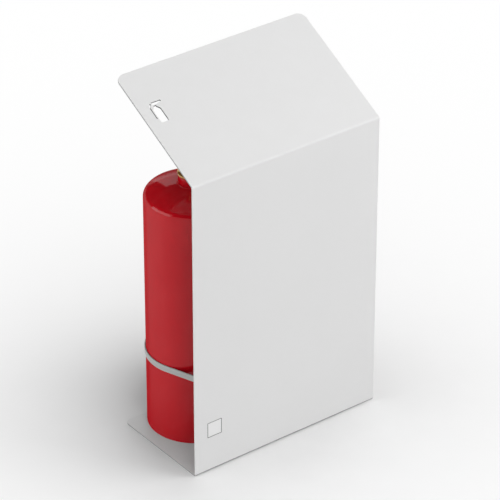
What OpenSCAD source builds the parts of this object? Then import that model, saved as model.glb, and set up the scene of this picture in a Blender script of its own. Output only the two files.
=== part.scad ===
// Free-standing fire extinguisher cabinet: one folded sheet with two extinguishers clipped behind it.
// X runs left to right, Y from the front panel to the back, Z up.
// The origin is the centre of the base plate's underside.

/* [Folded sheet] */
// Width of the sheet
sheet_w = 300; // [290:5:420]
// Free height between a squeeze lever and the visor, above a cylinder's axis
visor_room = 58.7; // [30:0.1:120]
// Depth of the base plate, from the panel's face to its back edge
base_d = 160; // [140:2:220]
// Length of the visor, from the fold line along its slope
visor_l = 185; // [140:1:240]
// Slope of the visor above the horizontal, rising to the back
visor_slope = 28; // [16:1:44]
// Thickness of the sheet
sheet_t = 2; // [1.2:0.1:3]
// Inside radius of the two bends
bend_r = 2; // [1:0.5:5]
// Radius of the base plate's back corners
base_corner_r = 9; // [2:1:25]
// Radius of the visor's back corners
visor_corner_r = 12; // [1:1:20]

/* [Cylinders] */
// Outside diameter of a cylinder
cyl_d = 130; // [120:1:132]
// Height of the straight side, from the base plate to the shoulder
shell_h = 344; // [300:2:350]
// Radius of the shoulder between the side and the crown
knuckle_r = 9; // [6:1:14]
// Radius of the crown
crown_r = 130; // [110:5:180]
// Free space between the front panel and a cylinder
standoff = 45.5; // [30:0.5:60]
// Depth of the dished underside
dish_depth = 7; // [3:1:12]
// Width of the flat rim that a cylinder stands on
foot_rim = 6; // [4:1:12]
// Radius of the neck boss on the crown
neck_r = 19; // [17:0.5:22]
// Height of the neck boss
neck_h = 12; // [8:1:16]

/* [Spring clips] */
// Thickness of the clip's strip
clip_t = 1.5; // [1:0.1:2]
// Height of the clip's strip
clip_h = 9; // [6:1:20]
// Height of the strip's middle above the base plate
clip_z = 112; // [60:1:200]
// Lean of the arms, from the cylinder's flank in to the panel
clip_lean = 20; // [16:1:28]
// Angle that the arms hold past the cylinder's flank
clip_wrap = 62; // [40:1:66]
// Inside radius of the bends at the foot and of the curled tips
clip_bend_r = 4; // [2:0.5:6]
// Angle of the curled tips
clip_curl = 90; // [40:5:120]

/* [Valve] */
// Turn of each valve head from straight back, towards the right
head_turn = 36; // [0:1:60]
// Radius of the flange that seats on the neck boss
flange_r = 20; // [18:0.5:23]
// Thickness of the flange
flange_h = 3; // [2:0.5:5]
// Width across the flats of the spanner hexagon
hex_af = 34; // [30:0.5:35]
// Height of the spanner hexagon
hex_h = 8; // [6:0.5:12]
// Radius of the valve body
body_r = 13.5; // [12.5:0.1:14]
// Height of the valve body from the hexagon to the handle's seat
body_h = 22; // [20:0.5:28]
// Radius of the threaded spigot on top of the body
spigot_r = 8; // [6:0.5:8.5]
// Radius of the outlet branch
outlet_r = 9; // [7:0.5:10]
// Radius of the outlet's bore
outlet_bore_r = 5; // [3:0.5:6]
// Reach of the outlet branch from the valve's axis
outlet_reach = 27; // [22:1:34]
// Radius of the squeeze stem
stem_r = 3; // [2:0.5:4]

/* [Handle and lever] */
// Outside width of the carry handle
handle_w = 30; // [29:0.5:34]
// Thickness of the pressed steel of the handle and the lever
handle_t = 2; // [1.5:0.1:2.4]
// Reach of the handle and the lever behind the valve's axis
handle_reach = 78; // [70:1:90]
// Height of the handle's sides along the grip
grip_h = 9; // [7:0.5:12]
// Angle between the squeeze lever and the handle
lever_rise = 16; // [13:0.5:22]
// Depth of the squeeze lever at its pivot
lever_depth = 13; // [11:0.5:14]
// Radius of the pivot pin
pivot_r = 2.5; // [2:0.1:3]
// Radius of the safety pin's wire
pin_r = 1.4; // [1:0.1:1.7]
// Radius of the pull ring to the middle of its wire
ring_r = 12; // [10:0.5:13]
// Radius of the pull ring's wire
ring_wire_r = 1; // [0.8:0.1:1.2]

/* [Pressure gauge] */
// Outside radius of the gauge
gauge_r = 17; // [15:0.5:18]
// Depth of the gauge's case
gauge_depth = 11; // [9:0.5:14]
// Thickness of the dial
dial_t = 0.8; // [0.5:0.1:1.2]
// Thickness of the glass
glass_t = 1.5; // [1:0.1:2]

/* [Hidden] */
$fn = 96;

// Clearances
fit = 0.3;          // round pieces that pass through or lie against each other
clip_space = 0.6;   // between the arms of the two clips
cut = 1;            // how far a cutting shape runs past the surface

// Sheet
front_y = -base_d / 2;
bend_out_r = bend_r + sheet_t;
visor_turn = 90 - visor_slope;
visor_set_back = bend_out_r * tan(visor_turn / 2);

// Cylinders
cyl_r = cyl_d / 2;
pitch = cyl_d + 2 * (fit + clip_t) + clip_space;
cyl_y = front_y + sheet_t + standoff + cyl_r;
crown_z = shell_h - sqrt(pow(crown_r - knuckle_r, 2) - pow(cyl_r - knuckle_r, 2));
crown_edge_r = (cyl_r - knuckle_r) * crown_r / (crown_r - knuckle_r);
neck_z = crown_z + sqrt(crown_r * crown_r - neck_r * neck_r);
dish_edge_r = cyl_r - foot_rim;
dish_r = (dish_edge_r * dish_edge_r + dish_depth * dish_depth) / (2 * dish_depth);

// Clips, about a cylinder's axis
clip_in_r = cyl_r + fit;
clip_out_r = clip_in_r + clip_t;
clip_back = standoff + cyl_r;
clip_bend_in = clip_in_r - clip_bend_r;
leg_l = (clip_back - clip_bend_r - clip_t - clip_bend_in * sin(clip_lean)) / cos(clip_lean);
foot_x = clip_bend_in * cos(clip_lean) - leg_l * sin(clip_lean);
curl_at = 180 - clip_wrap;

// Valve, about a cylinder's axis, heights above the base plate
flange_z = neck_z + neck_h;
hex_z = flange_z + flange_h;
body_z = hex_z + hex_h;
seat_z = body_z + body_h;
branch_z = seat_z - body_h / 2;
nut_h = 5;
nut_af = 2 * spigot_r + 5;
spigot_h = handle_t + nut_h + 1;

// Handle and lever, in the plane across the valve, from the handle's seat
handle_bend_r = 2;
ear_r = 6.5;
pivot_y = -13;
pivot_up = handle_t + nut_h + lever_depth / 2 + 0.5;
lever_w = handle_w - 2 * handle_t - 2 * fit;
lever_front = lever_depth / 2;
lever_l = (handle_reach - pivot_y) / cos(lever_rise);
lever_tip_depth = 8;
lever_under = lever_depth / 2 - handle_t;
safety_y = 16;
safety_up = pivot_up + (safety_y - pivot_y) * tan(lever_rise) - 1;
cheek_back = safety_y + ear_r;
nose_r = 9;
stem_up = pivot_up - pivot_y * tan(lever_rise) + (lever_under - stem_r - fit) / cos(lever_rise);
head_r = pivot_r + 1.8;
head_h = 1.5;
pin_tail = 3;
eye_r = pin_r + 2 * ring_wire_r + 0.8;
eye_x = -handle_w / 2 - 1 - eye_r;
ring_drop = eye_r - pin_r - ring_wire_r - fit;

// Fold line between the panel and the visor, set by the levers under it
lever_top = seat_z + pivot_up - pivot_y * tan(lever_rise) + lever_front / cos(lever_rise);
visor_under = sheet_t + lever_top + visor_room;
panel_h = visor_under + sheet_t / cos(visor_slope) - (sheet_t + clip_back) * tan(visor_slope);

// Gauge
gauge_x = body_r + 6;
gauge_boss_r = 7;
gauge_wall = 1.8;
gauge_ledge = 1.2;
dial_recess = 1.4;
glass_r = gauge_r - gauge_wall;
dial_r = glass_r - gauge_ledge;

// Points along an arc, about one for each four degrees of turn
function arc(centre, r, from, to) =
    let (steps = ceil(abs(to - from) / 4))
    [for (i = [0:steps]) let (a = from + (to - from) * i / steps) centre + r * [cos(a), sin(a)]];

// What a rounded corner takes off a plate whose corner is at the origin
module corner_waste(r) {
    difference() {
        translate([-r, -r]) square(r + cut);
        translate([-r, -r]) circle(r);
    }
}

// Turns a flat outline drawn as (Y, Z) into a plate of a given width across X
module across(width) {
    rotate([90, 0, 90]) linear_extrude(width, center = true) children();
}

// The sheet's edge as seen from the side, drawn as (Y, Z) from the panel's face
module sheet_profile() {
    lower = [bend_out_r, bend_out_r];
    upper = [bend_out_r, panel_h - visor_set_back];
    along = [cos(visor_slope), sin(visor_slope)];
    inward = [sin(visor_slope), -cos(visor_slope)];
    visor_end = [0, panel_h] + visor_l * along;
    polygon(concat(
        [[base_d, sheet_t]],
        arc(lower, bend_r, 270, 180),
        arc(upper, bend_r, 180, 180 - visor_turn),
        [visor_end + sheet_t * inward, visor_end],
        arc(upper, bend_out_r, 180 - visor_turn, 180),
        arc(lower, bend_out_r, 180, 270),
        [[base_d, 0]]));
}

module folded_sheet() {
    color("whitesmoke")
    translate([0, front_y, 0])
    difference() {
        across(sheet_w) sheet_profile();
        for (side = [-1, 1]) scale([side, 1, 1]) {
            translate([sheet_w / 2, base_d, -cut])
                linear_extrude(sheet_t + 2 * cut) corner_waste(base_corner_r);
            translate([0, 0, panel_h]) rotate([visor_slope, 0, 0])
                translate([sheet_w / 2, visor_l, -sheet_t - cut])
                linear_extrude(sheet_t + 2 * cut) corner_waste(visor_corner_r);
        }
    }
}

// The left half of a clip's outline: outer side from the foot to the curled tip, then the inner side back
function clip_half() =
    let (foot = [-foot_x, -clip_back + clip_t + clip_bend_r],
        curl = (clip_out_r + clip_bend_r) * [cos(curl_at), sin(curl_at)])
    concat(
        arc(foot, clip_bend_r + clip_t, 270, 180 + clip_lean),
        arc([0, 0], clip_out_r, 180 + clip_lean, curl_at),
        arc(curl, clip_bend_r, curl_at + 180, curl_at + 180 + clip_curl),
        arc(curl, clip_bend_r + clip_t, curl_at + 180 + clip_curl, curl_at + 180),
        arc([0, 0], clip_in_r, curl_at, 180 + clip_lean),
        arc(foot, clip_bend_r, 180 + clip_lean, 270));

module spring_clip() {
    half = clip_half();
    last = len(half) - 1;
    color("silver")
    translate([0, 0, clip_z - clip_h / 2])
    linear_extrude(clip_h)
        polygon(concat(half, [for (i = [0:last]) [-half[last - i][0], half[last - i][1]]]));
}

module cylinder_shell() {
    color("firebrick")
    rotate_extrude()
    difference() {
        union() {
            square([cyl_r, shell_h]);
            translate([cyl_r - knuckle_r, shell_h]) circle(knuckle_r);
            intersection() {
                translate([0, crown_z]) circle(crown_r);
                square([crown_edge_r, neck_z]);
            }
        }
        translate([0, dish_depth - dish_r]) circle(dish_r);
    }
}

module neck_boss() {
    chamfer = 1;
    color("firebrick")
    translate([0, 0, neck_z])
    rotate_extrude()
        polygon([[0, 0], [neck_r, 0], [neck_r, neck_h - chamfer], [neck_r - chamfer, neck_h], [0, neck_h]]);
}

module valve_body() {
    outlet_depth = 14;
    color("goldenrod")
    difference() {
        union() {
            translate([0, 0, flange_z]) cylinder(r = flange_r, h = flange_h);
            translate([0, 0, hex_z]) cylinder(d = hex_af / cos(30), h = hex_h, $fn = 6);
            translate([0, 0, body_z]) cylinder(r = body_r, h = body_h);
            translate([0, 0, seat_z]) cylinder(r = spigot_r, h = spigot_h);
            translate([0, 0, branch_z]) rotate([0, 90, 0]) cylinder(r = gauge_boss_r, h = gauge_x);
            translate([0, 0, branch_z]) rotate([90, 0, 0]) cylinder(r = outlet_r, h = outlet_reach);
        }
        translate([0, -outlet_reach - cut, branch_z]) rotate([-90, 0, 0])
            cylinder(r = outlet_bore_r, h = outlet_depth + cut);
    }
}

module stem() {
    color("lightgray") {
        translate([0, 0, seat_z + spigot_h]) cylinder(r = stem_r, h = stem_up - spigot_h);
        translate([0, 0, seat_z + stem_up]) sphere(stem_r);
    }
}

// Cross-section of a pressed channel, drawn as (X, Z), open at the top
module channel_section(width, height) {
    outer_r = handle_bend_r + handle_t;
    module rounded(w, h, r) {
        translate([-w / 2, r]) square([w, h - r]);
        translate([-w / 2 + r, 0]) square([w - 2 * r, r]);
        for (side = [-1, 1]) translate([side * (w / 2 - r), r]) circle(r);
    }
    difference() {
        rounded(width, height, outer_r);
        translate([0, handle_t]) rounded(width - 2 * handle_t, height, handle_bend_r);
    }
}

// Side view of the carry handle from its seat, drawn as (Y, Z)
module handle_side() {
    translate([pivot_y, pivot_up]) circle(ear_r);
    translate([safety_y, safety_up]) circle(ear_r);
    polygon([
        [pivot_y - ear_r, 0], [handle_reach, 0], [handle_reach, grip_h],
        [cheek_back + ear_r, grip_h], [cheek_back, safety_up], [safety_y, safety_up + ear_r],
        [pivot_y, pivot_up + ear_r], [pivot_y - ear_r, pivot_up]]);
}

// Plan of a grip with a rounded free end, drawn as (X, Y)
module grip_plan(width, from, to) {
    translate([-width / 2, from]) square([width, to - from - nose_r]);
    translate([-width / 2 + nose_r, from]) square([width - 2 * nose_r, to - from]);
    for (side = [-1, 1]) translate([side * (width / 2 - nose_r), to - nose_r]) circle(nose_r);
}

module cross_hole(y, z, r) {
    translate([0, y, z]) rotate([0, 90, 0]) cylinder(r = r, h = handle_w + 2 * cut, center = true);
}

module carry_handle() {
    top = safety_up + ear_r;
    color("dimgray")
    translate([0, 0, seat_z])
    difference() {
        intersection() {
            translate([0, handle_reach, 0]) rotate([90, 0, 0])
                linear_extrude(handle_reach - pivot_y + ear_r) channel_section(handle_w, top + cut);
            across(handle_w) handle_side();
            linear_extrude(top + cut) grip_plan(handle_w, pivot_y - ear_r, handle_reach);
        }
        translate([0, 0, -cut]) cylinder(r = spigot_r + fit, h = handle_t + 2 * cut);
        cross_hole(pivot_y, pivot_up, pivot_r + fit);
        cross_hole(safety_y, safety_up, pin_r + fit);
    }
}

module gland_nut() {
    color("goldenrod")
    translate([0, 0, seat_z + handle_t])
    difference() {
        cylinder(d = nut_af / cos(30), h = nut_h, $fn = 6);
        translate([0, 0, -cut]) cylinder(r = spigot_r + fit, h = nut_h + 2 * cut);
    }
}

// Side view of the squeeze lever from its pivot, drawn as (Y, Z) along the lever
module lever_side() {
    circle(lever_front);
    polygon([[0, -lever_front], [lever_l, lever_front - lever_tip_depth],
        [lever_l, lever_front], [0, lever_front]]);
}

module squeeze_lever() {
    color("dimgray")
    translate([0, 0, seat_z])
    difference() {
        translate([0, pivot_y, pivot_up]) rotate([lever_rise, 0, 0])
        intersection() {
            translate([0, -lever_front, lever_front]) rotate([-90, 0, 0])
                linear_extrude(lever_l + lever_front) channel_section(lever_w, lever_depth + cut);
            across(lever_w) lever_side();
            translate([0, 0, -lever_depth]) linear_extrude(2 * lever_depth)
                grip_plan(lever_w, -lever_front, lever_l);
        }
        cross_hole(pivot_y, pivot_up, pivot_r + fit);
        cross_hole(safety_y, safety_up, pin_r + fit);
    }
}

module pivot_pin() {
    color("lightgray")
    translate([0, pivot_y, seat_z + pivot_up]) rotate([0, 90, 0]) {
        cylinder(r = pivot_r, h = handle_w, center = true);
        for (side = [-1, 1]) translate([0, 0, side * (handle_w + head_h) / 2])
            cylinder(r = head_r, h = head_h, center = true);
    }
}

module safety_pin() {
    color("lightgray")
    translate([0, safety_y, seat_z + safety_up]) {
        translate([eye_x + eye_r, 0, 0]) rotate([0, 90, 0])
            cylinder(r = pin_r, h = handle_w / 2 + pin_tail - eye_x - eye_r);
        translate([eye_x, 0, 0]) rotate([90, 0, 0])
            rotate_extrude() translate([eye_r, 0]) circle(pin_r);
    }
}

module pull_ring() {
    color("lightgray")
    translate([eye_x, safety_y, seat_z + safety_up - ring_drop - ring_r]) rotate([0, 90, 0])
        rotate_extrude() translate([ring_r, 0]) circle(ring_wire_r);
}

// Places a piece of the gauge, drawn upward from its back, on the valve's right
module at_gauge() {
    translate([gauge_x, 0, branch_z]) rotate([0, 90, 0]) children();
}

module gauge_case() {
    edge_r = 2;
    glass_z = gauge_depth - glass_t;
    color("darkgoldenrod")
    at_gauge()
    rotate_extrude()
    difference() {
        union() {
            square([gauge_r - edge_r, gauge_depth]);
            translate([0, edge_r]) square([gauge_r, gauge_depth - edge_r]);
            translate([gauge_r - edge_r, edge_r]) circle(edge_r);
        }
        translate([0, glass_z]) square([glass_r + fit, glass_t + cut]);
        translate([0, glass_z - dial_recess - dial_t]) square([dial_r + fit, dial_recess + dial_t + cut]);
    }
}

module gauge_dial() {
    color("white")
    at_gauge()
    translate([0, 0, gauge_depth - glass_t - dial_recess - dial_t]) cylinder(r = dial_r, h = dial_t);
}

module gauge_glass() {
    color([0.85, 0.9, 0.92, 0.4])
    at_gauge()
    translate([0, 0, gauge_depth - glass_t]) cylinder(r = glass_r, h = glass_t);
}

// Places a piece about the axis of the left (-1) or right (1) cylinder, on the base plate
module on_base(side) {
    translate([side * pitch / 2, cyl_y, sheet_t]) children();
}

// Places a piece of the left (-1) or right (1) valve head, drawn with its lever straight back
module on_head(side) {
    on_base(side) rotate(-head_turn) children();
}

folded_sheet();
on_base(-1) spring_clip();  // left_clip
on_base(1) spring_clip();  // right_clip
on_base(-1) cylinder_shell();  // left_cylinder
on_base(1) cylinder_shell();  // right_cylinder
on_base(-1) neck_boss();  // left_neck_boss
on_base(1) neck_boss();  // right_neck_boss
on_head(-1) valve_body();  // left_valve_body
on_head(1) valve_body();  // right_valve_body
on_head(-1) stem();  // left_stem
on_head(1) stem();  // right_stem
on_head(-1) carry_handle();  // left_carry_handle
on_head(1) carry_handle();  // right_carry_handle
on_head(-1) gland_nut();  // left_gland_nut
on_head(1) gland_nut();  // right_gland_nut
on_head(-1) squeeze_lever();  // left_squeeze_lever
on_head(1) squeeze_lever();  // right_squeeze_lever
on_head(-1) pivot_pin();  // left_pivot_pin
on_head(1) pivot_pin();  // right_pivot_pin
on_head(-1) safety_pin();  // left_safety_pin
on_head(1) safety_pin();  // right_safety_pin
on_head(-1) pull_ring();  // left_pull_ring
on_head(1) pull_ring();  // right_pull_ring
on_head(-1) gauge_case();  // left_gauge_case
on_head(1) gauge_case();  // right_gauge_case
on_head(-1) gauge_dial();  // left_gauge_dial
on_head(1) gauge_dial();  // right_gauge_dial
on_head(-1) gauge_glass();  // left_gauge_glass
on_head(1) gauge_glass();  // right_gauge_glass
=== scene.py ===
# Free-standing fire extinguisher cabinet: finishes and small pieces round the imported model
import math

import bmesh
import bpy
from mathutils import Matrix, Vector


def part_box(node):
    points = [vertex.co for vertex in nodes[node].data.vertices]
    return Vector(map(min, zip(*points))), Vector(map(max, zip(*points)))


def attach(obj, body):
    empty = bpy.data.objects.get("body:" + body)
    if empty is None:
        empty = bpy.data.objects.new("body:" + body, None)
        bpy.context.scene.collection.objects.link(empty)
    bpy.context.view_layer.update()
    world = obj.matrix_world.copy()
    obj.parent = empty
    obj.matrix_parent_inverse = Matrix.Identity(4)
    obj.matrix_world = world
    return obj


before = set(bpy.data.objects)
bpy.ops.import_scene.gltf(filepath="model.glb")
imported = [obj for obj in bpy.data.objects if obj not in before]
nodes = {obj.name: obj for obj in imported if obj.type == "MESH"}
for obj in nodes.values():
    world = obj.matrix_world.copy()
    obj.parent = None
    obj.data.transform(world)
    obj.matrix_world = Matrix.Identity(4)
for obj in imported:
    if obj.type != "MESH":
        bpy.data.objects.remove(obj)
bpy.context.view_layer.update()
SIDES = ("left", "right")

# Sheet, in metres
SHEET_T = 0.002
FRONT_Y = -0.080
VISOR_SLOPE = math.radians(28)
sheet_low, sheet_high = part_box("folded_sheet")
VISOR_L = (sheet_high.y - FRONT_Y) / math.cos(VISOR_SLOPE)
FOLD_Z = sheet_high.z - VISOR_L * math.sin(VISOR_SLOPE)

# Valve heads: turn from straight back, and places along and across the lever
HEAD_TURN = math.radians(36)
DIAL_FACE = 0.0276
DIAL_R = 0.0138
OUTLET_MOUTH = 0.027
OUTLET_BORE_R = 0.005


# Shader helpers

def add(tree, kind, label=None, **sockets):
    """Adds a node and sets its unlinked sockets by name."""
    node = tree.nodes.new(kind)
    if label:
        node.label = label
    for name, value in sockets.items():
        node.inputs[name.replace("_", " ")].default_value = value
    return node


def link(tree, out, into):
    tree.links.new(out, into)


def new_group(name, inputs, outputs):
    """Makes a node group with named sockets and returns it with its two end nodes."""
    group = bpy.data.node_groups.new(name, "ShaderNodeTree")
    for label, kind, value in inputs:
        sock = group.interface.new_socket(label, in_out="INPUT", socket_type="NodeSocket" + kind)
        sock.default_value = value
    for label, kind in outputs:
        group.interface.new_socket(label, in_out="OUTPUT", socket_type="NodeSocket" + kind)
    return group, group.nodes.new("NodeGroupInput"), group.nodes.new("NodeGroupOutput")


def maths(tree, operation, first, second=None, clamp=False):
    """A Math node whose inputs are sockets or numbers."""
    node = tree.nodes.new("ShaderNodeMath")
    node.operation = operation
    node.use_clamp = clamp
    for i, value in enumerate((first, second)):
        if value is None:
            continue
        if isinstance(value, (int, float)):
            node.inputs[i].default_value = value
        else:
            tree.links.new(value, node.inputs[i])
    return node.outputs[0]


def mix_colours(tree, factor, first, second, blend="MIX"):
    node = tree.nodes.new("ShaderNodeMix")
    node.data_type = "RGBA"
    node.blend_type = blend
    for i, value in ((0, factor), (6, first), (7, second)):
        if isinstance(value, (int, float, tuple)):
            node.inputs[i].default_value = value
        else:
            tree.links.new(value, node.inputs[i])
    return node.outputs[2]


def noise(tree, vector, scale, detail=3.0, roughness=0.5):
    node = add(tree, "ShaderNodeTexNoise", Scale=scale, Detail=detail, Roughness=roughness)
    tree.links.new(vector, node.inputs["Vector"])
    return node.outputs["Fac"]


def map_range(tree, value, low, high, to_low=0.0, to_high=1.0):
    node = tree.nodes.new("ShaderNodeMapRange")
    tree.links.new(value, node.inputs["Value"])
    for name, number in (("From Min", low), ("From Max", high), ("To Min", to_low), ("To Max", to_high)):
        node.inputs[name].default_value = number
    return node.outputs["Result"]


# Shared effects

def make_coat_grain():
    """The fine pebbled skin and slight mottle of baked powder."""
    group, start, end = new_group(
        "powder coat grain",
        [("Paint", "Color", (0.8, 0.8, 0.8, 1)), ("Mottle Tone", "Color", (0.76, 0.76, 0.76, 1)),
         ("Grains Per Metre", "Float", 700.0), ("Mottle", "Float", 0.5),
         ("Roughness", "Float", 0.4), ("Roughness Change", "Float", 0.08)],
        [("Color", "Color"), ("Roughness", "Float"), ("Height", "Float")])
    where = group.nodes.new("ShaderNodeTexCoord").outputs["Object"]
    pebbles = group.nodes.new("ShaderNodeTexNoise")
    pebbles.inputs["Detail"].default_value = 2.0
    link(group, where, pebbles.inputs["Vector"])
    link(group, start.outputs["Grains Per Metre"], pebbles.inputs["Scale"])
    cloud = map_range(group, noise(group, where, 9.0, 3.0), 0.35, 0.65)
    mottle = maths(group, "MULTIPLY", cloud, start.outputs["Mottle"])
    colour = mix_colours(group, mottle, start.outputs["Paint"], start.outputs["Mottle Tone"])
    patches = map_range(group, noise(group, where, 26.0, 2.0), 0.3, 0.7, -1.0, 1.0)
    change = maths(group, "MULTIPLY", patches, start.outputs["Roughness Change"])
    rough = maths(group, "ADD", start.outputs["Roughness"], change, clamp=True)
    link(group, colour, end.inputs["Color"])
    link(group, rough, end.inputs["Roughness"])
    link(group, pebbles.outputs["Fac"], end.inputs["Height"])
    return group


def make_dust_and_edge_shade():
    """Dust on what faces up and near the floor, and painted shade: a dark line along the lowest edges and on side
    edges high up.
    """
    group, start, end = new_group(
        "dust and painted edge shade",
        [("Color", "Color", (0.8, 0.8, 0.8, 1)), ("Dust", "Color", (0.6, 0.58, 0.55, 1)),
         ("Amount", "Float", 0.1), ("Floor Reach", "Float", 0.03),
         ("Painted Shade", "Color", (0.10, 0.10, 0.10, 1)), ("Painted Shade Amount", "Float", 0.0),
         ("Painted Shade Reach", "Float", 0.003), ("Side Edges Above", "Float", 10.0)],
        [("Color", "Color"), ("Mask", "Float")])
    where = group.nodes.new("ShaderNodeTexCoord")
    facing = group.nodes.new("ShaderNodeSeparateXYZ")
    link(group, where.outputs["Normal"], facing.inputs[0])
    place = group.nodes.new("ShaderNodeSeparateXYZ")
    link(group, where.outputs["Object"], place.inputs[0])
    upward = map_range(group, facing.outputs["Z"], 0.6, 1.0)
    depth = maths(group, "DIVIDE", place.outputs["Z"], start.outputs["Floor Reach"])
    low = maths(group, "SUBTRACT", 1.0, depth, clamp=True)
    both = maths(group, "MAXIMUM", upward, low)
    drift = map_range(group, noise(group, where.outputs["Object"], 45.0, 6.0, 0.65), 0.35, 0.7)
    mask = maths(group, "MULTIPLY", maths(group, "MULTIPLY", both, drift), start.outputs["Amount"], clamp=True)
    dusty = mix_colours(group, mask, start.outputs["Color"], start.outputs["Dust"])
    # Painted shade: the dark colour on the lowest millimetres of faces that don't look up, and on side edges above
    # the given height.
    edge = maths(group, "LESS_THAN", place.outputs["Z"], start.outputs["Painted Shade Reach"])
    edge = maths(group, "MULTIPLY", edge, maths(group, "SUBTRACT", 1.0, upward, clamp=True))
    sideways = maths(group, "GREATER_THAN", maths(group, "ABSOLUTE", facing.outputs["X"]), 0.7)
    high = maths(group, "GREATER_THAN", place.outputs["Z"], start.outputs["Side Edges Above"])
    edge = maths(group, "MAXIMUM", edge, maths(group, "MULTIPLY", sideways, high))
    shade_line = maths(group, "MULTIPLY", edge, start.outputs["Painted Shade Amount"], clamp=True)
    link(group, mix_colours(group, shade_line, dusty, start.outputs["Painted Shade"]), end.inputs["Color"])
    link(group, mask, end.inputs["Mask"])
    return group


def make_turned_rings():
    """Fine tool rings left by a lathe, level with the floor."""
    group, start, end = new_group(
        "turned rings",
        [("Metal", "Color", (0.8, 0.6, 0.35, 1)), ("Shade", "Color", (0.6, 0.42, 0.22, 1)),
         ("Rings Per Metre", "Float", 2500.0), ("Tarnish", "Float", 0.3),
         ("Roughness", "Float", 0.3), ("Roughness Change", "Float", 0.1)],
        [("Color", "Color"), ("Roughness", "Float"), ("Height", "Float")])
    where = group.nodes.new("ShaderNodeTexCoord").outputs["Object"]
    place = group.nodes.new("ShaderNodeSeparateXYZ")
    link(group, where, place.inputs[0])
    rings = group.nodes.new("ShaderNodeTexNoise")
    rings.noise_dimensions = "1D"
    rings.inputs["Scale"].default_value = 1.0
    rings.inputs["Detail"].default_value = 2.0
    link(group, maths(group, "MULTIPLY", place.outputs["Z"], start.outputs["Rings Per Metre"]), rings.inputs["W"])
    cloud = map_range(group, noise(group, where, 90.0, 4.0), 0.4, 0.7)
    tarnish = maths(group, "MULTIPLY", cloud, start.outputs["Tarnish"])
    spread = map_range(group, rings.outputs["Fac"], 0.3, 0.7, -1.0, 1.0)
    change = maths(group, "MULTIPLY", spread, start.outputs["Roughness Change"])
    link(group, mix_colours(group, tarnish, start.outputs["Metal"], start.outputs["Shade"]), end.inputs["Color"])
    link(group, maths(group, "ADD", start.outputs["Roughness"], change, clamp=True), end.inputs["Roughness"])
    link(group, rings.outputs["Fac"], end.inputs["Height"])
    return group


def make_handling_marks():
    """Wiped patches and faint fine scratches that dull a gloss a little."""
    group, start, end = new_group(
        "handling marks",
        [("Paint", "Color", (0.5, 0.01, 0.01, 1)), ("Worn Tone", "Color", (0.5, 0.02, 0.02, 1)),
         ("Roughness", "Float", 0.1), ("Dulling", "Float", 0.08), ("Tint", "Float", 0.3)],
        [("Color", "Color"), ("Roughness", "Float"), ("Height", "Float")])
    where = group.nodes.new("ShaderNodeTexCoord").outputs["Object"]
    wiped = map_range(group, noise(group, where, 14.0, 4.0, 0.6), 0.42, 0.72)
    lean = add(group, "ShaderNodeMapping")
    lean.inputs["Rotation"].default_value = (0.3, 0.5, 0.2)
    lean.inputs["Scale"].default_value = (40.0, 260.0, 90.0)
    link(group, where, lean.inputs["Vector"])
    scratches = map_range(group, noise(group, lean.outputs["Vector"], 1.0, 5.0, 0.7), 0.62, 0.8)
    marks = maths(group, "MAXIMUM", wiped, maths(group, "MULTIPLY", scratches, 0.6))
    dull = maths(group, "MULTIPLY", marks, start.outputs["Dulling"])
    peel = noise(group, where, 260.0, 1.0)
    tint = maths(group, "MULTIPLY", marks, start.outputs["Tint"])
    link(group, mix_colours(group, tint, start.outputs["Paint"], start.outputs["Worn Tone"]), end.inputs["Color"])
    link(group, maths(group, "ADD", start.outputs["Roughness"], dull, clamp=True), end.inputs["Roughness"])
    link(group, peel, end.inputs["Height"])
    return group


coat_grain = make_coat_grain()
dust_and_edge_shade = make_dust_and_edge_shade()
turned_rings = make_turned_rings()
handling_marks = make_handling_marks()


# Finishes

def finish(name, effect, values, bump_depth, bump_distance=0.0002, dust=0.0, edge_shade=0.0, **shader):
    """A material: one shared effect, a bump from its height, optional dust with painted edge shade."""
    material = bpy.data.materials.new(name)
    material.use_nodes = True
    tree = material.node_tree
    surface = tree.nodes["Principled BSDF"]
    skin = tree.nodes.new("ShaderNodeGroup")
    skin.node_tree = effect
    for label, value in values.items():
        skin.inputs[label].default_value = value
    colour = skin.outputs["Color"]
    if dust:
        dust_and_shade = tree.nodes.new("ShaderNodeGroup")
        dust_and_shade.node_tree = dust_and_edge_shade
        dust_and_shade.inputs["Amount"].default_value = dust
        dust_and_shade.inputs["Painted Shade Amount"].default_value = edge_shade
        dust_and_shade.inputs["Side Edges Above"].default_value = FOLD_Z
        link(tree, colour, dust_and_shade.inputs["Color"])
        colour = dust_and_shade.outputs["Color"]
    link(tree, colour, surface.inputs["Base Color"])
    link(tree, skin.outputs["Roughness"], surface.inputs["Roughness"])
    bump = add(tree, "ShaderNodeBump", Strength=bump_depth, Distance=bump_distance)
    link(tree, skin.outputs["Height"], bump.inputs["Height"])
    link(tree, bump.outputs["Normal"], surface.inputs["Normal"])
    for label, value in shader.items():
        surface.inputs[label.replace("_", " ")].default_value = value
    return material


def grey(level):
    return (level, level, level, 1)


# The pale sheet: its dark line along the lowest edges and its darker visor side edges are painted shade.
sheet_paint = finish(
    "pale grey powder coat", coat_grain,
    {"Paint": grey(0.82), "Mottle Tone": grey(0.81), "Grains Per Metre": 900.0, "Mottle": 0.6,
     "Roughness": 0.36, "Roughness Change": 0.03}, 0.12, 0.00006, dust=0.05, edge_shade=0.6,
    Specular_IOR_Level=0.2)
clip_paint = finish(
    "grey spring steel coat", coat_grain,
    {"Paint": (0.46, 0.47, 0.46, 1), "Mottle Tone": (0.42, 0.43, 0.42, 1), "Grains Per Metre": 1200.0,
     "Mottle": 0.6, "Roughness": 0.36, "Roughness Change": 0.05}, 0.15, 0.00006, dust=0.05)
red_enamel = finish(
    "gloss red enamel", handling_marks,
    {"Paint": (0.56, 0.003, 0.010, 1), "Worn Tone": (0.51, 0.005, 0.013, 1), "Roughness": 0.25,
     "Dulling": 0.12, "Tint": 0.4}, 0.02, 0.0002, dust=0.02,
    Specular_IOR_Level=0.0, Coat_Roughness=0.07, Coat_IOR=1.39)


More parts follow.
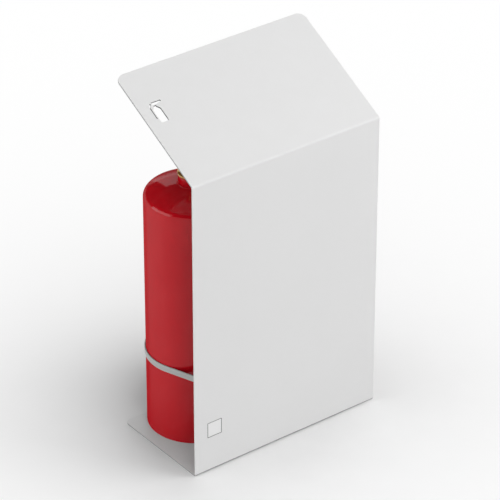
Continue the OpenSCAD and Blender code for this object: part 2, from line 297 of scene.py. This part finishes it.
def lacquer(material, full, rim):
    """A clear coat over a finish, weaker where the surface turns away, and where it is wiped dull."""
    tree = material.node_tree
    surface = tree.nodes["Principled BSDF"]
    turned = tree.nodes.new("ShaderNodeLayerWeight")
    gloss = map_range(tree, turned.outputs["Facing"], 0.35, 0.75, full, rim)
    wiped = map_range(tree, surface.inputs["Roughness"].links[0].from_socket, 0.25, 0.37, 1.0, 0.75)
    link(tree, maths(tree, "MULTIPLY", gloss, wiped, clamp=True), surface.inputs["Coat Weight"])


def calm_cast(material, cast):
    """Quietens the colour that a surface throws on its surroundings."""
    tree = material.node_tree
    into = tree.nodes["Principled BSDF"].inputs["Base Color"]
    rays = tree.nodes.new("ShaderNodeLightPath")
    link(tree, mix_colours(tree, rays.outputs["Is Diffuse Ray"], into.links[0].from_socket, cast), into)


lacquer(red_enamel, 0.9, 0.10)
calm_cast(red_enamel, (0.08, 0.05, 0.05, 1))
# Dark grey for the walls of the cuts: painted shade inside the narrow cuts.
cut_wall_shade = finish(
    "cut walls of the sheet in painted shade", coat_grain,
    {"Paint": grey(0.16), "Mottle Tone": grey(0.10), "Grains Per Metre": 2000.0, "Mottle": 0.8,
     "Roughness": 0.45, "Roughness Change": 0.1}, 0.2, 0.00005)
black_coat = finish(
    "black powder coat", coat_grain,
    {"Paint": grey(0.016), "Mottle Tone": grey(0.024), "Grains Per Metre": 1500.0, "Mottle": 0.7,
     "Roughness": 0.42, "Roughness Change": 0.07}, 0.35, 0.0001, dust=0.03)
# Turned brass set darker than the pressed brass: partly its own tone, partly painted shade for where it sits under
# the visor.
brass_in_shade = finish(
    "turned brass", turned_rings,
    {"Metal": (0.62, 0.41, 0.17, 1), "Shade": (0.38, 0.23, 0.08, 1), "Rings Per Metre": 3200.0,
     "Tarnish": 0.45, "Roughness": 0.26, "Roughness Change": 0.07}, 0.25, 0.00005, Metallic=1.0)
pressed_brass = finish(
    "pressed brass", turned_rings,
    {"Metal": (0.78, 0.56, 0.27, 1), "Shade": (0.55, 0.36, 0.15, 1), "Rings Per Metre": 900.0,
     "Tarnish": 0.35, "Roughness": 0.2, "Roughness Change": 0.05}, 0.08, 0.00005, Metallic=1.0)
zinc_plate = finish(
    "zinc plate", turned_rings,
    {"Metal": (0.62, 0.63, 0.62, 1), "Shade": (0.45, 0.46, 0.47, 1), "Rings Per Metre": 2600.0,
     "Tarnish": 0.5, "Roughness": 0.28, "Roughness Change": 0.08}, 0.15, 0.00005, Metallic=1.0)
dial_card = finish(
    "dial card", coat_grain,
    {"Paint": grey(0.82), "Mottle Tone": grey(0.78), "Grains Per Metre": 4000.0, "Mottle": 0.4,
     "Roughness": 0.55, "Roughness Change": 0.04}, 0.05, 0.00003)


def ink(name, colour):
    return finish(name, coat_grain,
                  {"Paint": colour, "Mottle Tone": tuple(0.9 * c for c in colour[:3]) + (1,),
                   "Grains Per Metre": 4000.0, "Mottle": 0.5, "Roughness": 0.4,
                   "Roughness Change": 0.05}, 0.05, 0.00003)


black_ink = ink("black dial ink", grey(0.015))
green_ink = ink("green dial ink", (0.03, 0.28, 0.05, 1))
red_ink = ink("red dial ink", (0.5, 0.02, 0.02, 1))
mark_white = ink("white mark plate", grey(0.90))
mark_grey = ink("grey mark line", grey(0.10))


def make_clear_glass():
    material = bpy.data.materials.new("gauge glass")
    material.use_nodes = True
    tree = material.node_tree
    surface = tree.nodes["Principled BSDF"]
    surface.inputs["Transmission Weight"].default_value = 1.0
    surface.inputs["IOR"].default_value = 1.49
    smear = tree.nodes.new("ShaderNodeGroup")
    smear.node_tree = handling_marks
    for label, value in (("Paint", (0.97, 0.99, 0.98, 1)), ("Worn Tone", (0.93, 0.95, 0.95, 1)),
                         ("Roughness", 0.02), ("Dulling", 0.05)):
        smear.inputs[label].default_value = value
    link(tree, smear.outputs["Color"], surface.inputs["Base Color"])
    link(tree, smear.outputs["Roughness"], surface.inputs["Roughness"])
    return material


clear_glass = make_clear_glass()

FINISHES = {
    "clip": clip_paint, "cylinder": red_enamel, "neck_boss": red_enamel, "valve_body": brass_in_shade,
    "stem": zinc_plate, "carry_handle": black_coat, "gland_nut": brass_in_shade,
    "squeeze_lever": black_coat, "pivot_pin": zinc_plate, "safety_pin": zinc_plate,
    "pull_ring": zinc_plate, "gauge_case": pressed_brass, "gauge_dial": dial_card,
    "gauge_glass": clear_glass}


def dress(node, material):
    """Gives a CAD node its finish, whatever slots it came with."""
    piece = nodes[node]
    if not piece.material_slots:
        piece.data.materials.append(material)
    for one in piece.material_slots:
        one.material = material


dress("folded_sheet", sheet_paint)
for side in SIDES:
    for part, material in FINISHES.items():
        dress(f"{side}_{part}", material)


# Small rounds on pressed and turned edges

def soften(node, width, angle=35.0, segments=2):
    """Joins the node's facets and rounds its sharp edges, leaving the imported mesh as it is."""
    piece = nodes[node]
    weld = piece.modifiers.new("join facets", "WELD")
    weld.merge_threshold = 1e-6
    rounding = piece.modifiers.new("rounded edges", "BEVEL")
    rounding.width = width
    rounding.segments = segments
    rounding.limit_method = "ANGLE"
    rounding.angle_limit = math.radians(angle)
    rounding.harden_normals = True
    return rounding


# Plain shapes for the small pieces

def new_piece(name, mesh, material):
    """Links a mesh as a piece that rides with the stand."""
    piece = bpy.data.objects.new(name, mesh)
    bpy.context.scene.collection.objects.link(piece)
    piece.data.materials.append(material)
    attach(piece, "root")
    return piece


def finish_mesh(name, bm, smooth_angle=None):
    """Turns a bmesh into a mesh with its faces outward, smooth where it curves."""
    bmesh.ops.recalc_face_normals(bm, faces=bm.faces[:])
    mesh = bpy.data.meshes.new(name)
    bm.to_mesh(mesh)
    bm.free()
    if smooth_angle is not None:
        mesh.shade_smooth()
        mesh.set_sharp_from_angle(angle=math.radians(smooth_angle))
    return mesh


def sweep_rings(bm, rings, closed_path):
    """Skins a list of equal closed rings of points; an open path gets its ends filled."""
    loops = [[bm.verts.new(p) for p in ring] for ring in rings]
    count = len(loops[0])
    spans = len(loops) if closed_path else len(loops) - 1
    for i in range(spans):
        a, b = loops[i], loops[(i + 1) % len(loops)]
        for j in range(count):
            k = (j + 1) % count
            bm.faces.new((a[j], a[k], b[k], b[j]))
    if not closed_path:
        bm.faces.new(loops[0][::-1])
        bm.faces.new(loops[-1])


def revolve(bm, profile, steps, place):
    """Turns a closed (radius, height) outline about Z and moves it to its place."""
    rings = []
    for i in range(steps):
        a = 2 * math.pi * i / steps
        rings.append([place @ Vector((r * math.cos(a), r * math.sin(a), h)) for r, h in profile])
    sweep_rings(bm, rings, True)


def dome_profile(radius, height, foot, steps=6):
    """Outline of a low round head that stands a little in what carries it."""
    points = [(1e-5, -foot), (radius, -foot)]
    for i in range(steps + 1):
        a = math.pi / 2 * i / steps
        points.append((max(1e-5, radius * math.cos(a)), height * math.sin(a)))
    return points


def axis_of(side):
    """The place of a cylinder's axis on the floor plane."""
    low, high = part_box(f"{side}_cylinder")
    return Vector(((low.x + high.x) / 2, (low.y + high.y) / 2, 0))


def head_place(side):
    """The valve head's own frame: X across the lever, Y along it, Z up from the floor."""
    return Matrix.Translation(axis_of(side)) @ Matrix.Rotation(-HEAD_TURN, 4, "Z")


def branch_height(side):
    low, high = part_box(f"{side}_gauge_case")
    return (low.z + high.z) / 2


# Small pieces

def make_spot_welds(side):
    """Two welded spots that hold the clip's foot to the panel."""
    low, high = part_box(f"{side}_clip")
    bm = bmesh.new()
    for across in (-0.012, 0.012):
        place = Matrix.Translation((axis_of(side).x + across, low.y + 0.0015, (low.z + high.z) / 2))
        place = place @ Matrix.Rotation(-math.pi / 2, 4, "X")
        ring = [(1e-5, -0.0002), (0.0032, -0.0002), (0.0031, 0.00025), (0.0027, 0.00045),
                (0.0023, 0.0003), (0.0018, 0.00018), (0.0008, 0.00012), (1e-5, 0.0001)]
        revolve(bm, ring, 32, place)
    return new_piece(f"{side}_clip_spot_welds", finish_mesh("spot welds", bm, 40), clip_paint)


def make_neck_bead(side):
    """The weld bead round the foot of the neck boss, with the ripples of its run."""
    low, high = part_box(f"{side}_neck_boss")
    radius = (high.x - low.x) / 2
    place = Matrix.Translation((axis_of(side).x, axis_of(side).y, low.z))
    bm = bmesh.new()
    rings = []
    steps = 144
    for i in range(steps):
        a = 2 * math.pi * i / steps
        ripple = 1.0 + 0.10 * math.sin(24 * a) ** 2
        ring = []
        for j in range(10):
            b = 2 * math.pi * j / 10
            r = radius + 0.0003 + 0.0017 * ripple * math.cos(b)
            ring.append(place @ Vector((r * math.cos(a), r * math.sin(a), -0.0008 + 0.0013 * ripple * math.sin(b))))
        rings.append(ring)
    sweep_rings(bm, rings, True)
    return new_piece(f"{side}_neck_weld", finish_mesh("neck weld", bm, 50), red_enamel)


def dial_place(side):
    """The dial's face: X right and Y up as it is read, Z out of the dial."""
    face = Matrix.Translation((DIAL_FACE, 0, branch_height(side)))
    turn = Matrix(((0, 0, 1, 0), (1, 0, 0, 0), (0, 1, 0, 0), (0, 0, 0, 1)))
    return head_place(side) @ face @ turn


def dial_sector(bm, place, inner, outer, start, end, low, high):
    """A flat arc on the dial between two angles in degrees, clockwise from the top."""
    steps = max(2, int(abs(end - start) / 4))
    rings = []
    for i in range(steps + 1):
        a = math.radians(90 - (start + (end - start) * i / steps))
        rings.append([place @ Vector((r * math.cos(a), r * math.sin(a), h))
                      for r, h in ((inner, low), (outer, low), (outer, high), (inner, high))])
    sweep_rings(bm, rings, False)


def make_dial_print(side):
    """Plain sectors and ticks of a pressure dial, then its needle on a small hub."""
    place = dial_place(side)
    for name, material, spans in (
            ("dial_red", red_ink, ((-118, -42), (52, 118))),
            ("dial_green", green_ink, ((-40, 50),))):
        bm = bmesh.new()
        for start, end in spans:
            dial_sector(bm, place, 0.0086, 0.0112, start, end, -0.00002, 0.00008)
        new_piece(f"{side}_{name}", finish_mesh(name, bm), material)
    bm = bmesh.new()
    for i in range(17):
        angle = -120 + 15 * i
        inner = 0.0104 if i % 4 == 0 else 0.0114
        dial_sector(bm, place, inner, 0.0126, angle - 1.1, angle + 1.1, 0.00006, 0.00013)
    new_piece(f"{side}_dial_ticks", finish_mesh("ticks", bm), black_ink)
    bm = bmesh.new()
    lean = Matrix.Rotation(math.radians(-6), 4, "Z")
    outline = ((-0.0011, -0.004), (0.0011, -0.004), (0.0007, 0.0), (0.00022, 0.0108), (-0.00022, 0.0108), (-0.0007, 0.0))
    rings = [[place @ lean @ Vector((x, y, h)) for x, y in outline] for h in (0.00045, 0.00075)]
    sweep_rings(bm, rings, False)
    revolve(bm, [(1e-5, 0.0), (0.0019, 0.0), (0.0019, 0.0009), (0.0014, 0.00115), (1e-5, 0.00115)], 28, place)
    new_piece(f"{side}_dial_needle", finish_mesh("needle", bm, 40), black_ink)


def make_outlet_thread(side):
    """The inside thread of the hose socket, one ridge run round and round."""
    place = head_place(side) @ Matrix.Translation((0, -OUTLET_MOUTH, branch_height(side)))
    place = place @ Matrix.Rotation(-math.pi / 2, 4, "X")
    pitch, turns, steps = 0.0014, 7, 32
    rings = []
    for i in range(turns * steps + 1):
        a = 2 * math.pi * i / steps
        h = 0.0012 + pitch * i / steps
        rings.append([place @ Vector((r * math.cos(a), r * math.sin(a), h + d)) for r, d in
                      ((OUTLET_BORE_R + 0.0001, -0.0006), (OUTLET_BORE_R - 0.00055, -0.0001),
                       (OUTLET_BORE_R - 0.00055, 0.0001), (OUTLET_BORE_R + 0.0001, 0.0006))])
    bm = bmesh.new()
    sweep_rings(bm, rings, False)
    return new_piece(f"{side}_outlet_thread", finish_mesh("outlet thread", bm, 50), brass_in_shade)


for side in SIDES:
    make_spot_welds(side)
    make_neck_bead(side)
    make_dial_print(side)
    make_outlet_thread(side)


# Sign cut through the visor, in the visor's own plane: X across, Y up the slope from the fold

visor_place = Matrix.Translation((0, FRONT_Y, FOLD_Z)) @ Matrix.Rotation(VISOR_SLOPE, 4, "X")


def rounded_outline(points, radius, steps=5):
    """Rounds each corner of a closed outline of (x, y) points."""
    out = []
    for i, corner in enumerate(points):
        here = Vector(corner)
        before = (Vector(points[i - 1]) - here)
        after = (Vector(points[(i + 1) % len(points)]) - here)
        reach = min(radius, before.length / 2.01, after.length / 2.01)
        start, end = here + before.normalized() * reach, here + after.normalized() * reach
        for j in range(steps + 1):
            t = j / steps
            out.append(start * (1 - t) ** 2 + here * 2 * t * (1 - t) + end * t ** 2)
    return out


SIGN_X, SIGN_Y = -0.1255, 0.1012
SIGN_SHAPES = {
    "bottle": ([(-0.0058, 0.0), (0.0058, 0.0), (0.0058, 0.0205), (0.0022, 0.0248), (0.0022, 0.0262),
                (-0.0022, 0.0262), (-0.0022, 0.0248), (-0.0058, 0.0205)], 0.0016),
    "grip": ([(-0.0026, 0.0278), (0.0042, 0.0278), (0.0120, 0.0300), (0.0120, 0.0318), (-0.0026, 0.0318)], 0.0006),
    "hose": ([(-0.0086, 0.0070), (-0.0074, 0.0070), (-0.0074, 0.0250), (-0.0042, 0.0292), (-0.0042, 0.0306),
              (-0.0050, 0.0306), (-0.0086, 0.0262)], 0.0005),
}


MARK_MIDDLE = Vector((-0.11825, 0.06475))
MARK_HALF, MARK_CORNER_R = 0.01155, 0.0006
MARK_RECESS = 0.0003


def mark_outline(half, front, back):
    """Two square rings of points in the panel's face, one behind the other."""
    square = [(-half, -half), (half, -half), (half, half), (-half, half)]
    outline = rounded_outline(square, MARK_CORNER_R, 3)
    return [[Vector((MARK_MIDDLE.x + p.x, FRONT_Y + y, MARK_MIDDLE.y + p.y)) for p in outline] for y in (back, front)]


def make_sign_cutter():
    """What is cut from the sheet: the sign, and the shallow seat of the square plate."""
    bm = bmesh.new()
    sweep_rings(bm, mark_outline(MARK_HALF, -SHEET_T, MARK_RECESS), False)
    for points, radius in SIGN_SHAPES.values():
        outline = rounded_outline(points, radius)
        rings = [[visor_place @ Vector((SIGN_X + p.x, SIGN_Y + p.y, h)) for p in outline]
                 for h in (-2.5 * SHEET_T, 1.5 * SHEET_T)]
        sweep_rings(bm, rings, False)
    cutter = bpy.data.objects.new("sign_cutter", finish_mesh("sign cutter", bm))
    bpy.context.scene.collection.objects.link(cutter)
    # The cut walls take the cutter's dark grey: painted shade.
    cutter.data.materials.append(cut_wall_shade)
    cutter.hide_render = True
    cutter.hide_viewport = True
    cutter.display_type = "WIRE"
    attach(cutter, "root")
    return cutter


sheet = nodes["folded_sheet"]
joined = sheet.modifiers.new("join facets", "WELD")
joined.merge_threshold = 1e-6
through = sheet.modifiers.new("cut sign", "BOOLEAN")
through.operation = "DIFFERENCE"
through.solver = "EXACT"
through.material_mode = "TRANSFER"
through.object = make_sign_cutter()
edges = sheet.modifiers.new("rounded edges", "BEVEL")
edges.width = 0.00025
edges.segments = 2
edges.limit_method = "ANGLE"
edges.angle_limit = math.radians(35)
edges.harden_normals = True

for side in SIDES:
    soften(f"{side}_clip", 0.0002)
    soften(f"{side}_valve_body", 0.0005)
    soften(f"{side}_gland_nut", 0.0004)
    soften(f"{side}_carry_handle", 0.00035)
    soften(f"{side}_squeeze_lever", 0.00035)
    soften(f"{side}_pivot_pin", 0.0004)
    soften(f"{side}_gauge_case", 0.0003)
    soften(f"{side}_neck_boss", 0.0004)


# Bare square plate in the panel's lower corner, seated flush

def make_mark_plate():
    for name, material, half, front in (
            ("mark_border", mark_grey, MARK_HALF - 0.00005, 0.00012),
            ("mark_plate", mark_white, MARK_HALF - 0.00095, 0.00002)):
        bm = bmesh.new()
        sweep_rings(bm, mark_outline(half, front, MARK_RECESS + 0.00005), False)
        new_piece(name, finish_mesh(name, bm), material)


make_mark_plate()


# Studio

SHADE_REACH, SHADE_FADE = 0.135, 0.20
SHADE_MIDDLE = (-0.015, 0.01, 0)


def make_floor():
    """A pale floor that curves up far away, all round, and is seen whiter away from the stand's shade."""
    profile = [(0.0, 0.0), (0.4, 0.0), (0.8, 0.0), (1.4, 0.0), (2.2, 0.0), (3.2, 0.0), (4.7, 0.0)]
    profile += [(4.7 + 0.5 * math.sin(a), 0.5 - 0.5 * math.cos(a)) for a in
                (math.radians(10 * i) for i in range(1, 10))]
    profile.append((5.2, 1.2))
    bm = bmesh.new()
    steps = 96
    loops = []
    for r, h in profile[1:]:
        loops.append([bm.verts.new((r * math.cos(2 * math.pi * i / steps), r * math.sin(2 * math.pi * i / steps), h))
                      for i in range(steps)])
    centre = bm.verts.new((0, 0, 0))
    for i in range(steps):
        k = (i + 1) % steps
        bm.faces.new((centre, loops[0][i], loops[0][k]))
        for a, b in zip(loops, loops[1:]):
            bm.faces.new((a[i], b[i], b[k], a[k]))
    mesh = bpy.data.meshes.new("studio floor")
    bm.to_mesh(mesh)
    bm.free()
    mesh.shade_smooth()
    floor = bpy.data.objects.new("studio_floor", mesh)
    bpy.context.scene.collection.objects.link(floor)
    material = bpy.data.materials.new("studio floor")
    material.use_nodes = True
    tree = material.node_tree
    surface = tree.nodes["Principled BSDF"]
    surface.inputs["Roughness"].default_value = 0.7
    surface.inputs["Specular IOR Level"].default_value = 0.25
    where = tree.nodes.new("ShaderNodeTexCoord").outputs["Object"]
    speck = map_range(tree, noise(tree, where, 18.0, 3.0), 0.3, 0.7)
    link(tree, mix_colours(tree, speck, grey(0.84), grey(0.86)), surface.inputs["Base Color"])
    rays = tree.nodes.new("ShaderNodeLightPath")
    seen = maths(tree, "ADD", rays.outputs["Is Camera Ray"], rays.outputs["Is Glossy Ray"])
    seen = maths(tree, "ADD", seen, rays.outputs["Is Transmission Ray"], clamp=True)
    shifted = tree.nodes.new("ShaderNodeVectorMath")
    shifted.operation = "SUBTRACT"
    shifted.inputs[1].default_value = SHADE_MIDDLE
    link(tree, where, shifted.inputs[0])
    place = tree.nodes.new("ShaderNodeVectorMath")
    place.operation = "LENGTH"
    link(tree, shifted.outputs[0], place.inputs[0])
    beyond = maths(tree, "SUBTRACT", place.outputs["Value"], SHADE_REACH)
    fade = maths(tree, "EXPONENT", maths(tree, "DIVIDE", beyond, -SHADE_FADE), clamp=True)
    far = maths(tree, "SUBTRACT", 1.0, fade, clamp=True)
    white = add(tree, "ShaderNodeEmission", Strength=1.0)
    white.inputs["Color"].default_value = (1, 1, 1, 1)
    blend = tree.nodes.new("ShaderNodeMixShader")
    link(tree, maths(tree, "MULTIPLY", far, seen), blend.inputs[0])
    link(tree, surface.outputs[0], blend.inputs[1])
    link(tree, white.outputs[0], blend.inputs[2])
    link(tree, blend.outputs[0], tree.nodes["Material Output"].inputs["Surface"])
    mesh.materials.append(material)


AIM = Vector((0.0, 0.0, 0.25))


def softbox(name, azimuth, elevation, distance, width, height, power):
    """A large lamp that looks at the stand. Azimuth 0 is the front and 90 the right."""
    data = bpy.data.lights.new(name, "AREA")
    data.shape = "RECTANGLE"
    data.size, data.size_y = width, height
    data.energy = power
    lamp = bpy.data.objects.new(name, data)
    bpy.context.scene.collection.objects.link(lamp)
    a, e = math.radians(azimuth), math.radians(elevation)
    towards = Vector((math.sin(a) * math.cos(e), -math.cos(a) * math.cos(e), math.sin(e)))
    lamp.location = AIM + towards * distance
    lamp.rotation_mode = "QUATERNION"
    lamp.rotation_quaternion = towards.to_track_quat("Z", "Y")
    lamp.visible_camera = False


make_floor()
softbox("key", 46, 43, 3.2, 1.8, 1.8, 44)
softbox("top", 0, 88, 3.4, 2.6, 2.6, 26)
softbox("front", -12, 40, 3.6, 2.4, 2.0, 41.5)
softbox("left", -112, 14, 3.4, 3.2, 2.0, 50)
softbox("back", 132, 18, 3.2, 3.6, 2.2, 35)

world = bpy.data.worlds.new("studio room")
bpy.context.scene.world = world
world.use_nodes = True
room = world.node_tree.nodes["Background"]
room.inputs["Color"].default_value = (1.0, 1.0, 1.0, 1)
room.inputs["Strength"].default_value = 0.05

# Camera at the photograph's place
camera_data = bpy.data.cameras.new("camera")
camera_data.sensor_width = 36.0
camera_data.lens = 229.1
camera_data.clip_start, camera_data.clip_end = 0.05, 50.0
camera = bpy.data.objects.new("camera", camera_data)
bpy.context.scene.collection.objects.link(camera)
turn, tilt = math.radians(-37.357), math.radians(31.232)
back = Vector((math.sin(turn) * math.cos(tilt), -math.cos(turn) * math.cos(tilt), math.sin(tilt)))
camera.location = (-2.16489, -2.83709, 2.41860)
camera.rotation_mode = "QUATERNION"
camera.rotation_quaternion = (-back).to_track_quat("-Z", "Y")
bpy.context.scene.camera = camera
bpy.context.scene.view_settings.view_transform = "Standard"
